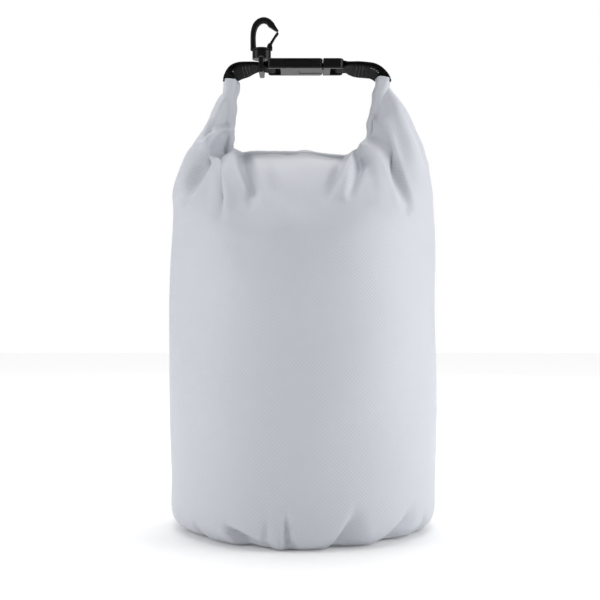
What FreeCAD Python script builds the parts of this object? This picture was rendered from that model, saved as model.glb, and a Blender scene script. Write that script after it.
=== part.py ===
import FreeCAD, Part
import math
import os
import Sketcher
from FreeCAD import Placement, Rotation, Vector

# A roll-top dry bag, filled and standing, with its mouth rolled down and the
# ends of the roll buckled together above it as a carrying loop.
# Millimetres. The origin is the middle of the base on the ground, +Z is up,
# +X runs towards the male half of the buckle and -Y is the front.

DRIVING_SIZES = {
    # bag
    "bag_radius": 106,
    "base_corner": 24,
    "seam_height": 4,
    "tape_height": 9,
    "tube_top": 236,
    "fabric": 0.8,
    "tape": 0.3,
    "tape_width": 22,
    # neck, from the round tube to the flat roll
    "neck_low": 260,
    "neck_mid": 276,
    "neck_top": 285.3,
    "neck_low_x": 105,
    "neck_low_y": 84,
    "neck_mid_x": 102,
    "neck_mid_y": 50,
    "neck_top_x": 100,
    "neck_top_y": 15,
    # gathered fabric beside the loop: inner and outer x, half depth and height of each section
    "gather_base_in_left": 72,
    "gather_low_in_left": 70,
    "gather_low_out_left": 90,
    "gather_mid_in_left": 67.6,
    "gather_mid_out_left": 80,
    "gather_top_in_left": 65,
    "gather_top_out_left": 68,
    "gather_base_in_right": 60,
    "gather_low_in_right": 63,
    "gather_low_out_right": 98,
    "gather_mid_in_right": 67.4,
    "gather_mid_out_right": 87,
    "gather_top_in_right": 71.8,
    "gather_top_out_right": 75,
    "gather_base_y": 24,
    "gather_low_y": 19,
    "gather_mid_y": 16,
    "gather_top_y": 14,
    "gather_base_z": 285.8,
    "gather_low_z": 305,
    "gather_mid_z": 330,
    "gather_top_z": 355,
    # rolled mouth, bent up into a loop
    "roll_width": 28,
    "roll_thickness": 13,
    "roll_bottom": 285.5,
    "roll_bend": 19,
    "roll_left_x": -71,
    "roll_right_x": 58.5,
    "arm_left_x": -64,
    "arm_right_x": 71,
    "arm_top": 356,
    "arm_right_end": 353.6,
    "core_inset": 5,
    "core_thickness": 3.2,
    "core_width": 25.6,
    "core_play": 0.2,
    # webbing and stiffener
    "web_width": 25,
    "web_thickness": 1.5,
    "stiffener_width": 22,
    "stiffener_thickness": 0.8,
    "strap_height": 367.4,
    "layer_gap": 0.1,
    "wrap_radius": 0.3,
    "tab_bend": 6,
    "tab_left_x": -57.2,
    "fold_left_x": -31.5,
    "tail_left_x": -49,
    "tab_right_x": 57,
    "tab_right_foot_x": 66,
    "fold_right_x": 36,
    "tail_right_x": 51,
    "stitch": 0.4,
    "tack_left_x": -47.5,
    "tack_right_x": 43,
    "tack_step": 2.4,
    "tack_width": 1.2,
    "tack_length": 22,
    # side-release buckle
    "buckle_width": 33,
    "buckle_height": 8,
    "buckle_round": 3,
    "buckle_soft": 1.2,
    "recess_start": 25,
    "recess_width": 14,
    "socket_length": 44,
    "socket_x": -28.3,
    "bar_length": 4.4,
    "bar_height": 3,
    "slot": 6,
    "slot_width": 26,
    "cavity_start": 13,
    "cavity_width": 28.6,
    "cavity_height": 5.2,
    "window_start": 12.9,
    "window_end": 35,
    "window_height": 5.4,
    "plug_length": 16.5,
    "prong_length": 30.5,
    "prong_gap": 0.4,
    "prong_thickness": 2.7,
    "button_rise": 2.0,
    "prong_height": 4.6,
    "guide_width": 9,
    "guide_length": 28,
    "button_height": 4.8,
    "play": 0.3,
    # swivel snap hook
    "hook_x": -33.3,
    "eye_bar": 2.8,
    "eye_gap": 7.6,
    "eye_inner_width": 25.8,
    "eye_depth": 4,
    "eye_side": 2.3,
    "eye_round": 3,
    "eye_inner_round": 1,
    "eye_soft": 1,
    "drum_radius": 7.5,
    "drum_low": 373.4,
    "drum_high": 380,
    "stem_radius": 2.8,
    "stem_head_radius": 4.2,
    "fit": 0.05,
    "drum_floor": 0.4,
    "drum_lip": 2.8,
    "end_play": 0.2,
    "disc_radius": 7.7,
    "disc_thickness": 1.8,
    "hook_depth": 5,
    "hook_soft": 0.9,
    "spine_x": 8.8,
    "spine_width": 4.3,
    "hook_height": 25.5,
    "hook_outer_round": 9,
    "hook_inner_round": 4.2,
    "hook_crown": 5.4,
    "hook_brow_x": 8.6,
    "hook_brow_round": 5,
    "nose_x": 13.7,
    "nose_z": 13.7,
    "nose_round": 0.9,
    "notch_x": 6.3,
    "notch_z": 16.6,
    "notch_round": 1.5,
    "gate_x": 6.6,
    "gate_z": 2.4,
    "gate_bow_x": 10.4,
    "gate_bow_z": 8.9,
    "gate_tip_x": 13.3,
    "gate_tip_z": 13.1,
    "lug_width": 6,
    "gate_depth": 3.2,
    "gate_barrel": 1.5,
    "trunnion": 0.8,
}


class Size:
    """A number that carries the spreadsheet expression it comes from."""

    def __init__(self, value, text=None):
        self.value = float(value)
        self.text = text if text else repr(float(value))

    @staticmethod
    def of(item):
        return item if isinstance(item, Size) else Size(item)

    def join(self, other, sign, value):
        return Size(value, f"({self.text} {sign} {Size.of(other).text})")

    def __add__(self, other):
        return self.join(other, "+", self.value + Size.of(other).value)

    def __sub__(self, other):
        return self.join(other, "-", self.value - Size.of(other).value)

    def __mul__(self, other):
        return self.join(other, "*", self.value * Size.of(other).value)

    def __truediv__(self, other):
        return self.join(other, "/", self.value / Size.of(other).value)

    def __neg__(self):
        return Size(-self.value, f"(0 - {self.text})")

    def __radd__(self, other):
        return Size.of(other) + self

    def __rsub__(self, other):
        return Size.of(other) - self


doc = FreeCAD.newDocument("DryBag")
sheet = doc.addObject("Spreadsheet::Sheet", "Sizes")
size = {}
for row, (alias, number) in enumerate(DRIVING_SIZES.items(), start=1):
    sheet.set(f"A{row}", alias)
    sheet.set(f"B{row}", str(number))
    sheet.setAlias(f"B{row}", alias)
    size[alias] = Size(number, f"Sizes.{alias}")
doc.recompute()

parts = []


def bind(item, name, value):
    """Bind one property to a size."""
    item.setExpression(name, Size.of(value).text)


def place(item, x=0, y=0, z=0):
    """Bind the position of an object."""
    for axis, value in zip("xyz", (x, y, z)):
        bind(item, f"Placement.Base.{axis}", value)


def keep(item, label):
    """Keep an object as a finished sub-part under its own label."""
    item.Label = label
    parts.append(item)
    return item


# ---------------------------------------------------------------- sketches

def corner_arc(before, corner, after, radius):
    """The two tangent points and the centre of a rounded corner."""
    back = (before - corner).normalize()
    ahead = (after - corner).normalize()
    half = back.getAngle(ahead) / 2
    reach = radius / math.tan(half)
    middle = (back + ahead).normalize()
    centre = corner + middle * (radius / math.sin(half))
    return corner + back * reach, corner + ahead * reach, centre


def pin_point(sketch, geometry, point, x, y):
    """Fix a point of the sketch at bound distances from its origin."""
    for kind, value in (("DistanceX", x), ("DistanceY", y)):
        index = sketch.addConstraint(Sketcher.Constraint(kind, -1, 1, geometry, point, value.value))
        sketch.setExpression(f"Constraints[{index}]", value.text)


def draw(sketch, corners, closed=True):
    """Draw lines through corners (x, y) or (x, y, radius), each corner bound to its sizes."""
    corners = [tuple(Size.of(value) for value in corner) for corner in corners]
    points = [Vector(corner[0].value, corner[1].value, 0) for corner in corners]
    count = len(corners)
    rounds = {}
    for index, corner in enumerate(corners):
        if len(corner) == 3:
            rounds[index] = corner_arc(points[index - 1], points[index], points[(index + 1) % count],
                                       corner[2].value)
    lines = {}
    for index in range(count if closed else count - 1):
        after = (index + 1) % count
        first = rounds[index][1] if index in rounds else points[index]
        last = rounds[after][0] if after in rounds else points[after]
        lines[index] = sketch.addGeometry(Part.LineSegment(first, last))
    for index, corner in enumerate(corners):
        incoming = lines.get((index - 1) % count)
        outgoing = lines.get(index)
        if index in rounds:
            round_corner(sketch, incoming, outgoing, points[index], corner, rounds[index])
        elif outgoing is None:
            pin_point(sketch, incoming, 2, corner[0], corner[1])
        else:
            if incoming is not None:
                sketch.addConstraint(Sketcher.Constraint("Coincident", incoming, 2, outgoing, 1))
            pin_point(sketch, outgoing, 1, corner[0], corner[1])


def round_corner(sketch, incoming, outgoing, point, corner, arc_points):
    """Join two lines by a tangent arc, and pin the corner that the arc replaces."""
    first, last, centre = arc_points
    turn = (point - first).cross(last - point).z
    start, end = (first, last) if turn > 0 else (last, first)
    angles = [math.atan2(item.y - centre.y, item.x - centre.x) for item in (start, end)]
    circle = Part.Circle(centre, Vector(0, 0, 1), corner[2].value)
    arc = sketch.addGeometry(Part.ArcOfCircle(circle, angles[0], angles[1]))
    near, far = (1, 2) if turn > 0 else (2, 1)
    sketch.addConstraint(Sketcher.Constraint("Tangent", incoming, 2, arc, near))
    sketch.addConstraint(Sketcher.Constraint("Tangent", arc, far, outgoing, 1))
    index = sketch.addConstraint(Sketcher.Constraint("Radius", arc, corner[2].value))
    sketch.setExpression(f"Constraints[{index}]", corner[2].text)
    mark = sketch.addGeometry(Part.Point(point), True)
    sketch.addConstraint(Sketcher.Constraint("PointOnObject", mark, 1, incoming))
    sketch.addConstraint(Sketcher.Constraint("PointOnObject", mark, 1, outgoing))
    pin_point(sketch, mark, 1, corner[0], corner[1])


def body_sketch(body, name, plane):
    """An empty sketch on one of the body's origin planes."""
    sketch = body.newObject("Sketcher::SketchObject", name)
    support = next(item for item in body.Origin.OriginFeatures if item.Role == f"{plane}_Plane")
    sketch.AttachmentSupport = (support, [""])
    sketch.MapMode = "FlatFace"
    return sketch


def shape_feature(body, kind, name, plane, corners, length):
    """A symmetric Pad or Pocket of one outline."""
    sketch = body_sketch(body, f"{name}Outline", plane)
    draw(sketch, corners)
    feature = body.newObject(f"PartDesign::{kind}", name)
    feature.Profile = sketch
    feature.SideType = "Symmetric"
    bind(feature, "Length", length)
    return feature


def pad(body, name, plane, corners, length):
    """Add material."""
    return shape_feature(body, "Pad", name, plane, corners, length)


def pocket(body, name, plane, corners, length):
    """Cut material, and check that it did."""
    doc.recompute()
    before = body.Tip.Shape.Volume
    feature = shape_feature(body, "Pocket", name, plane, corners, length)
    doc.recompute()
    if feature.Shape.Volume > before - 0.01:
        raise RuntimeError(f"{name} removed nothing")
    return feature


def turned(body, kind, name, corners, plane="XZ", angle=360):
    """A Revolution or Groove of one outline about the body's Z axis."""
    sketch = body_sketch(body, f"{name}Outline", plane)
    draw(sketch, corners)
    feature = body.newObject(f"PartDesign::{kind}", name)
    feature.Profile = sketch
    feature.ReferenceAxis = (sketch, ["V_Axis"])
    feature.Midplane = angle != 360
    bind(feature, "Angle", angle)
    return feature


def round_feature(body, kind, name, plane, x, y, radius, length):
    """A symmetric Pad or Pocket of one circle."""
    sketch = body_sketch(body, f"{name}Outline", plane)
    circle = sketch.addGeometry(Part.Circle(Vector(x.value, y.value, 0), Vector(0, 0, 1), radius.value))
    pin_point(sketch, circle, 3, x, y)
    index = sketch.addConstraint(Sketcher.Constraint("Radius", circle, radius.value))
    sketch.setExpression(f"Constraints[{index}]", radius.text)
    feature = body.newObject(f"PartDesign::{kind}", name)
    feature.Profile = sketch
    feature.SideType = "Symmetric"
    bind(feature, "Length", length)
    return feature


def soften(body, name, radius, wanted):
    """Round the edges of the tip for which wanted(edge) is true."""
    doc.recompute()
    tip = body.Tip
    names = [f"Edge{index}" for index, edge in enumerate(tip.Shape.Edges, start=1) if wanted(edge)]
    feature = body.newObject("PartDesign::Fillet", name)
    feature.Base = (tip, names)
    bind(feature, "Radius", radius)
    doc.recompute()
    return feature


def box_corners(x0, x1, y0, y1, radius=None):
    """The corners of a rectangle, rounded if a radius is given."""
    corners = [(x0, y0), (x1, y0), (x1, y1), (x0, y1)]
    return [corner + (radius,) for corner in corners] if radius else corners


# ------------------------------------------------------------------- straps

def strap(label, path, thickness, width):
    """A flat band of a given width in Y, on the left-hand side of a path in XZ."""
    line = doc.addObject("Sketcher::SketchObject", f"{label}_line")
    line.Placement = Placement(Vector(0, 0, 0), Rotation(Vector(1, 0, 0), 90))
    draw(line, path, closed=False)
    face = doc.addObject("Part::Offset2D", f"{label}_section")
    face.Source = line
    face.Mode = "Skin"
    face.Fill = True
    bind(face, "Value", thickness)
    band = doc.addObject("Part::Extrusion", label)
    band.Base = face
    band.DirMode = "Custom"
    band.Dir = Vector(0, 1, 0)
    band.Symmetric = True
    band.Solid = True
    bind(band, "LengthFwd", width)
    return band


# ---------------------------------------------------------------- the bag

def pan_corners(inset, thickness):
    """The wall of the tube and base as one outline, moved inwards by inset."""
    outer = size["bag_radius"] - inset
    corner = size["base_corner"] - inset
    top = size["tube_top"]
    return [
        (0, inset),
        (outer, inset, corner),
        (outer, top),
        (outer - thickness, top),
        (outer - thickness, inset + thickness, corner - thickness),
        (0, inset + thickness),
    ]


def pan(label, inset, thickness):
    """A body holding the pan-shaped wall."""
    body = doc.addObject("PartDesign::Body", label)
    turned(body, "Revolution", "Wall", pan_corners(inset, thickness))
    doc.recompute()
    return body


def trim(body, name, low, high):
    """Remove everything between two heights."""
    reach = size["bag_radius"] * 2
    pocket(body, name, "XZ", box_corners(-reach, reach, low, high), reach * 2)


def make_bag():
    """Base, tube and the tapes over their seams."""
    zero = Size(0)
    above = size["tube_top"] * 2

    base = pan("base_panel", zero, size["fabric"])
    trim(base, "AboveSeam", size["seam_height"], above)
    keep(base, "base_panel")

    tube = pan("tube_panel", zero, size["fabric"])
    trim(tube, "BelowSeam", -size["base_corner"], size["seam_height"])
    keep(tube, "tube_panel")

    base_tape = pan("base_seam_tape", size["fabric"], size["tape"])
    trim(base_tape, "AboveTape", size["tape_height"], above)
    trim(base_tape, "BelowTape", -size["base_corner"], size["fabric"] + size["tape"])
    keep(base_tape, "base_seam_tape")

    side_tape = doc.addObject("PartDesign::Body", "side_seam_tape")
    outer = size["bag_radius"] - size["fabric"]
    angle = size["tape_width"] / size["bag_radius"] * (180 / math.pi)
    strip = box_corners(outer - size["tape"], outer, size["base_corner"], size["tube_top"])
    turned(side_tape, "Revolution", "Strip", strip, plane="YZ", angle=angle)
    keep(side_tape, "side_seam_tape")


def ellipse(name, half_x, half_y, x, z):
    """A horizontal ellipse."""
    ring = doc.addObject("Part::Ellipse", name)
    wide = half_x.value >= half_y.value
    bind(ring, "MajorRadius", half_x if wide else half_y)
    bind(ring, "MinorRadius", half_y if wide else half_x)
    if not wide:
        ring.Placement = Placement(Vector(0, 0, 0), Rotation(Vector(0, 0, 1), 90))
    place(ring, x=x, z=z)
    return ring


def loft(name, sections):
    """A solid through horizontal ellipses (half_x, half_y, x, z)."""
    rings = [ellipse(f"{name}_ring{index}", *section) for index, section in enumerate(sections)]
    solid = doc.addObject("Part::Loft", name)
    solid.Sections = rings
    solid.Solid = True
    return solid


def make_neck():
    """The fabric between the round tube and the flat roll, and its gathers beside the loop."""
    zero = Size(0)
    wall = size["fabric"]
    sections = [
        (size["bag_radius"], size["bag_radius"], zero, size["tube_top"]),
        (size["neck_low_x"], size["neck_low_y"], zero, size["neck_low"]),
        (size["neck_mid_x"], size["neck_mid_y"], zero, size["neck_mid"]),
        (size["neck_top_x"], size["neck_top_y"], zero, size["neck_top"]),
    ]
    hollow = [(half_x - wall, half_y - wall, x, z - wall) for half_x, half_y, x, z in sections]
    panel = doc.addObject("Part::Cut", "neck_panel")
    panel.Base = loft("neck_outside", sections)
    panel.Tool = loft("neck_inside", hollow)
    keep(panel, "neck_panel")

    for side, heights in (("left", LEFT_GATHER), ("right", RIGHT_GATHER)):
        rings = [((outer - inner) / 2, half_y, (outer + inner) / 2, height)
                 for inner, outer, half_y, height in heights]
        if side == "left":
            rings = [(half_x, half_y, -x, height) for half_x, half_y, x, height in rings]
        keep(loft(f"neck_{side}", rings), f"neck_{side}")


# Inner and outer distance from the middle, half depth and height of each gather's sections.
LEFT_GATHER = [
    (size["gather_base_in_left"], size["neck_top_x"] - 1, size["gather_base_y"], size["gather_base_z"]),
    (size["gather_low_in_left"], size["gather_low_out_left"], size["gather_low_y"], size["gather_low_z"]),
    (size["gather_mid_in_left"], size["gather_mid_out_left"], size["gather_mid_y"], size["gather_mid_z"]),
    (size["gather_top_in_left"], size["gather_top_out_left"], size["gather_top_y"], size["gather_top_z"]),
]
RIGHT_GATHER = [
    (size["gather_base_in_right"], size["neck_top_x"] + 1, size["gather_base_y"], size["gather_base_z"]),
    (size["gather_low_in_right"], size["gather_low_out_right"], size["gather_low_y"], size["gather_low_z"]),
    (size["gather_mid_in_right"], size["gather_mid_out_right"], size["gather_mid_y"], size["gather_mid_z"]),
    (size["gather_top_in_right"], size["gather_top_out_right"], size["gather_top_y"], size["gather_top_z"]),
]


# ------------------------------------------------------ roll and webbing

def loop_path(inset):
    """The outer face of the roll, moved inwards: down the left, across and up the right."""
    bottom = size["roll_bottom"] + inset
    bend = size["roll_bend"] - inset
    return [
        (size["arm_left_x"] + inset, size["arm_top"]),
        (size["roll_left_x"] + inset, bottom, bend),
        (size["roll_right_x"] - inset, bottom, bend),
        (size["arm_right_x"] - inset, size["arm_right_end"]),
    ]


def make_roll():
    """The rolled mouth with the webbing and the stiffener in its core."""
    core = size["core_inset"]
    play = size["core_play"]
    roll = doc.addObject("Part::Cut", "mouth_roll")
    roll.Base = strap("roll_outside", loop_path(Size(0)), size["roll_thickness"], size["roll_width"])
    roll.Tool = strap("roll_core", loop_path(core), size["core_thickness"], size["core_width"])
    keep(roll, "mouth_roll")

    webbing = strap("hem_webbing", loop_path(core + play), size["web_thickness"], size["web_width"])
    keep(webbing, "hem_webbing")

    beside = core + play * 2 + size["web_thickness"]
    stiffener = strap("stiffener_strip", loop_path(beside), size["stiffener_thickness"],
                      size["stiffener_width"])
    keep(stiffener, "stiffener_strip")


def make_tabs():
    """The ends of the webbing, each folded round a buckle bar and sewn back on itself."""
    middle = size["strap_height"]
    upper = middle + size["layer_gap"]
    lower = middle - size["layer_gap"]
    over = middle + size["bar_height"] / 2 + size["layer_gap"]
    under = middle - size["bar_height"] / 2 - size["layer_gap"]
    start = size["arm_top"] + size["core_play"]
    wrap = size["wrap_radius"]

    socket_bar = size["socket_x"] + size["bar_length"] + size["core_play"]
    left = [
        (size["tab_left_x"], start),
        (size["tab_left_x"], upper, size["tab_bend"]),
        (size["fold_left_x"], upper),
        (size["socket_x"], over),
        (socket_bar, over, wrap),
        (socket_bar, under, wrap),
        (size["socket_x"], under),
        (size["fold_left_x"], lower),
        (size["tail_left_x"], lower),
    ]
    keep(strap("webbing_tab_left", left, size["web_thickness"], size["web_width"]), "webbing_tab_left")

    plug_end = size["socket_x"] + size["socket_length"] + size["plug_length"]
    plug_bar = plug_end - size["bar_length"] - size["core_play"]
    right = [
        (size["tail_right_x"], lower),
        (size["fold_right_x"], lower),
        (plug_end, under),
        (plug_bar, under, wrap),
        (plug_bar, over, wrap),
        (plug_end, over),
        (size["fold_right_x"], upper),
        (size["tab_right_x"], upper, size["tab_bend"]),
        (size["tab_right_foot_x"], start),
    ]
    keep(strap("webbing_tab_right", right, size["web_thickness"], size["web_width"]), "webbing_tab_right")


def make_tacks():
    """Rows of thread that hold each tab's fold, raised on its upper and lower face."""
    face = size["layer_gap"] + size["web_thickness"]
    heights = (size["strap_height"] + face, size["strap_height"] - face - size["stitch"])
    for side, first in (("left", size["tack_left_x"]), ("right", size["tack_right_x"])):
        rows = []
        for row in range(3):
            for level, height in enumerate(heights):
                thread = doc.addObject("Part::Box", f"tack_{side}_{row}_{level}")
                bind(thread, "Length", size["tack_width"])
                bind(thread, "Width", size["tack_length"])
                bind(thread, "Height", size["stitch"])
                place(thread, x=first + size["tack_step"] * row, y=-(size["tack_length"] / 2), z=height)
                rows.append(thread)
        tack = doc.addObject("Part::Compound", f"tack_{side}")
        tack.Links = rows
        keep(tack, f"tack_{side}")


# ------------------------------------------------------------------ buckle

def flat_rim(edge):
    """True for an edge that lies level, on the top or bottom of a buckle half."""
    box = edge.BoundBox
    return box.ZLength < 0.01 and abs(abs(box.ZMin) - size["buckle_height"].value / 2) < 0.01


def make_socket():
    """Female half: a flat box with a mouth, two side windows and a webbing bar."""
    length = size["socket_length"]
    half = size["buckle_width"] / 2
    body = doc.addObject("PartDesign::Body", "buckle_socket")
    pad(body, "Block", "XY", box_corners(0, length, -half, half, size["buckle_round"]), size["buckle_height"])
    soften(body, "Softened", size["buckle_soft"], flat_rim)

    slot = size["slot_width"] / 2
    tall = size["buckle_height"] * 2
    pocket(body, "WebbingSlot", "XY", box_corners(size["bar_length"], size["bar_length"] + size["slot"], -slot, slot), tall)
    bar = size["bar_height"] / 2
    for name, low, high in (("AboveBar", bar, tall), ("BelowBar", -tall, -bar)):
        pocket(body, name, "XZ", box_corners(-size["bar_length"], size["bar_length"] + size["play"], low, high),
               size["slot_width"])

    inner = size["cavity_width"] / 2
    pocket(body, "Cavity", "XY", box_corners(size["cavity_start"], length + 1, -inner, inner),
           size["cavity_height"])
    window = size["window_height"] / 2
    pocket(body, "SideWindows", "XZ",
           box_corners(size["window_start"], size["window_end"], -window, window, window - size["fit"]),
           size["buckle_width"] * 2)
    view = size["recess_width"] / 2
    pocket(body, "Recess", "XZ", box_corners(size["recess_start"], length + 1, -tall, 0), view * 2)
    place(body, x=size["socket_x"], z=size["strap_height"])
    keep(body, "buckle_socket")


def make_plug():
    """Male half without its prongs: base, webbing bar and centre guide."""
    length = size["plug_length"]
    half = size["buckle_width"] / 2
    start = size["play"]
    body = doc.addObject("PartDesign::Body", "buckle_plug")
    outline = [
        (start, -half),
        (length, -half, size["buckle_round"] + 1),
        (length, half, size["buckle_round"] + 1),
        (start, half),
    ]
    pad(body, "Base", "XY", outline, size["buckle_height"])
    soften(body, "Softened", size["buckle_soft"], flat_rim)

    slot = size["slot_width"] / 2
    bar = length - size["bar_length"]
    tall = size["buckle_height"] * 2
    pocket(body, "WebbingSlot", "XY", box_corners(bar - size["slot"], bar, -slot, slot), tall)
    thick = size["bar_height"] / 2
    for name, low, high in (("AboveBar", thick, tall), ("BelowBar", -tall, -thick)):
        pocket(body, name, "XZ", box_corners(bar - size["play"], length + size["bar_length"], low, high),
               size["slot_width"])

    guide = size["guide_width"] / 2
    back = size["guide_length"]
    pad(body, "Guide", "XY", box_corners(-back, size["bar_length"], -guide, guide), size["prong_height"])
    keel = size["buckle_height"] / 2 - size["play"]
    width = size["recess_width"] - size["play"] * 2
    pad(body, "Keel", "XZ", box_corners(size["recess_start"] - size["socket_length"] + size["play"],
                                        size["bar_length"], -keel, 0), width)
    place(body, x=size["socket_x"] + size["socket_length"], z=size["strap_height"])
    keep(body, "buckle_plug")


def make_prongs():
    """The two sprung legs, each with a thumb button that fills a side window."""
    outer = size["cavity_width"] / 2 - size["play"]
    inner = outer - size["prong_thickness"]
    rise = outer + size["button_rise"]
    middle = (inner + rise) / 2
    root = -size["prong_gap"]
    tip = -size["prong_length"]
    catch = size["window_end"] - size["socket_length"] - size["play"]
    button = size["button_height"] / 2
    for side, sign in (("front", -1), ("back", 1)):
        body = doc.addObject("PartDesign::Body", f"prong_{side}")
        near = (inner - middle) * sign
        far = (outer - middle) * sign
        pad(body, "Leg", "XY", box_corners(tip + button, root, near, far), size["prong_height"])
        pad(body, "Button", "XZ", box_corners(tip, catch, -button, button, button - size["fit"]),
            rise - inner)
        place(body, x=size["socket_x"] + size["socket_length"], y=middle * sign, z=size["strap_height"])
        keep(body, f"prong_{side}")


# -------------------------------------------------------------------- hook

def make_eye():
    """The hook's lower half: a frame round the webbing under a round drum."""
    high = size["eye_gap"] / 2
    frame = high + size["eye_bar"]
    inside = size["eye_inner_width"] / 2
    outside = inside + size["eye_side"]
    low = size["drum_low"] - size["strap_height"]
    top = size["drum_high"] - size["strap_height"]
    body = doc.addObject("PartDesign::Body", "swivel_eye")
    pad(body, "Frame", "YZ", box_corners(-outside, outside, -frame, frame, size["eye_round"]), size["eye_depth"])
    pocket(body, "WebbingWindow", "YZ", box_corners(-inside, inside, -high, high, size["eye_inner_round"]),
           size["eye_depth"] * 2)
    soften(body, "FrameSoftened", size["eye_soft"], lambda edge: edge.BoundBox.XLength < 0.01)
    turned(body, "Revolution", "Drum", box_corners(0, size["drum_radius"], low, top))

    head = size["stem_head_radius"] + size["fit"]
    stem = size["stem_radius"] + size["fit"]
    floor = low + size["drum_floor"]
    ledge = top - size["drum_lip"]
    hollow = [(0, floor), (head, floor), (head, ledge), (stem, ledge), (stem, top + 1), (0, top + 1)]
    turned(body, "Groove", "StemHole", hollow)
    place(body, x=size["hook_x"], z=size["strap_height"])
    keep(body, "swivel_eye")


def lies_on_side(edge, side):
    """True for an edge in the front or back face of the hook's arm, above the disc."""
    box = edge.BoundBox
    return box.YLength < 0.01 and abs(abs(box.YMin) - side) < 0.01 and box.ZMax > 0.5


def make_hook():
    """The hook's upper half: captive stem, disc, curved arm and the lugs of the gate."""
    base = size["drum_high"] + size["play"] + size["disc_thickness"]
    disc = -size["disc_thickness"]
    ledge = size["drum_high"] - size["drum_lip"] - size["end_play"] - base
    foot = size["drum_low"] + size["drum_floor"] + size["end_play"] - base
    body = doc.addObject("PartDesign::Body", "snap_hook")
    stem = [
        (0, foot),
        (size["stem_head_radius"], foot),
        (size["stem_head_radius"], ledge),
        (size["stem_radius"], ledge),
        (size["stem_radius"], disc),
        (size["disc_radius"], disc),
        (size["disc_radius"], 0),
        (0, 0),
    ]
    turned(body, "Revolution", "StemAndDisc", stem)

    spine = -size["spine_x"]
    inner = spine + size["spine_width"]
    top = size["hook_height"]
    arm = [
        (spine, disc / 2),
        (spine, top, size["hook_outer_round"]),
        (size["hook_brow_x"], top, size["hook_brow_round"]),
        (size["nose_x"], size["nose_z"], size["nose_round"]),
        (size["nose_x"] - 2.4, size["nose_z"] + 0.9, size["nose_round"]),
        (size["notch_x"], size["notch_z"], size["nose_round"]),
        (size["notch_x"] - 0.6, top - size["hook_crown"], size["notch_round"]),
        (inner, top - size["hook_crown"], size["hook_inner_round"]),
        (inner, disc / 2),
    ]
    pad(body, "Arm", "XZ", arm, size["hook_depth"])
    side = size["hook_depth"].value / 2
    soften(body, "ArmSoftened", size["hook_soft"], lambda edge: lies_on_side(edge, side))

    pivot_x = size["gate_x"]
    pivot_z = size["gate_z"]
    barrel = size["gate_barrel"]
    lug = [
        (pivot_x - barrel, disc / 2),
        (pivot_x + barrel, disc / 2),
        (pivot_x + barrel, pivot_z + barrel, barrel - size["fit"]),
        (pivot_x - barrel, pivot_z + barrel, barrel - size["fit"]),
    ]
    pad(body, "Lugs", "XZ", lug, size["lug_width"])
    gap = box_corners(pivot_x - barrel * 2, pivot_x + barrel * 2, size["fit"], pivot_z + barrel * 2)
    pocket(body, "GateGap", "XZ", gap, size["gate_depth"] + size["play"])
    round_feature(body, "Pocket", "LugHoles", "XZ", pivot_x, pivot_z, size["trunnion"] + size["fit"],
                  size["lug_width"] * 2)
    place(body, x=size["hook_x"], z=base)
    keep(body, "snap_hook")

    gate = doc.addObject("PartDesign::Body", "hook_gate")
    round_feature(gate, "Pad", "Barrel", "XZ", pivot_x, pivot_z, barrel, size["gate_depth"])
    round_feature(gate, "Pad", "Trunnions", "XZ", pivot_x, pivot_z, size["trunnion"], size["lug_width"])
    bow_x = size["gate_bow_x"]
    bow_z = size["gate_bow_z"]
    tip_x = size["gate_tip_x"]
    tip_z = size["gate_tip_z"]
    leaf = [
        (pivot_x + 1.0, pivot_z - 0.4),
        (bow_x + 0.8, bow_z - 0.4, 4),
        (tip_x + 0.4, tip_z - 1.5, 0.5),
        (tip_x, tip_z, 0.5),
        (tip_x - 1.4, tip_z - 0.5, 0.5),
        (bow_x - 0.7, bow_z + 0.4, 4),
        (pivot_x - 0.7, pivot_z + 1.0),
    ]
    pad(gate, "Leaf", "XZ", leaf, size["gate_depth"])
    place(gate, x=size["hook_x"], z=base)
    keep(gate, "hook_gate")


make_bag()
make_neck()
make_roll()
make_tabs()
make_tacks()
make_socket()
make_plug()
make_prongs()
make_eye()
make_hook()
doc.recompute()

for item in doc.Objects:
    if "Invalid" in item.State or "Error" in item.State:
        raise RuntimeError(f"{item.Label} failed: {item.State}")
for item in parts:
    shape = item.Shape
    if shape.isNull() or not shape.isValid() or not shape.Solids:
        raise RuntimeError(f"{item.Label} has no valid solid")

os.makedirs("parts", exist_ok=True)
for item in parts:
    item.Shape.exportStep(f"parts/{item.Label}.step")
    box = item.Shape.BoundBox
    print(f"{item.Label:18} {len(item.Shape.Solids)} solid(s) {item.Shape.Volume:10.1f} mm3  "
          f"x {box.XMin:.1f}..{box.XMax:.1f}  y {box.YMin:.1f}..{box.YMax:.1f}  z {box.ZMin:.1f}..{box.ZMax:.1f}")
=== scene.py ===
import bmesh
import bpy
import math
import numpy as np
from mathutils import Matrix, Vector


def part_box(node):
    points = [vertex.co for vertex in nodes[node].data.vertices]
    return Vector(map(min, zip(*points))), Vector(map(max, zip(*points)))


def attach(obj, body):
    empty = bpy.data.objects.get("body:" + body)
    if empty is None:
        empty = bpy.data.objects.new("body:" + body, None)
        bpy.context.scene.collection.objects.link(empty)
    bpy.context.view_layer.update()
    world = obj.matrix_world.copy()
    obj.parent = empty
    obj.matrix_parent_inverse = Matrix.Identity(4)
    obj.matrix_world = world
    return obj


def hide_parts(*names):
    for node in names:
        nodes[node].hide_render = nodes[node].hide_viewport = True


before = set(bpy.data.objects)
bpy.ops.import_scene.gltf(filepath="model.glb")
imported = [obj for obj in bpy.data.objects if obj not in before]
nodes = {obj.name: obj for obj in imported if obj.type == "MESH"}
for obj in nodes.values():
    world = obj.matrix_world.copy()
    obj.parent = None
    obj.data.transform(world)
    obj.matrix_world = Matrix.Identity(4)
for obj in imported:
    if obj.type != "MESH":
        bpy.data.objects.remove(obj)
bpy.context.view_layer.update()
print("frame loaded,", len(nodes), "nodes")


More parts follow.
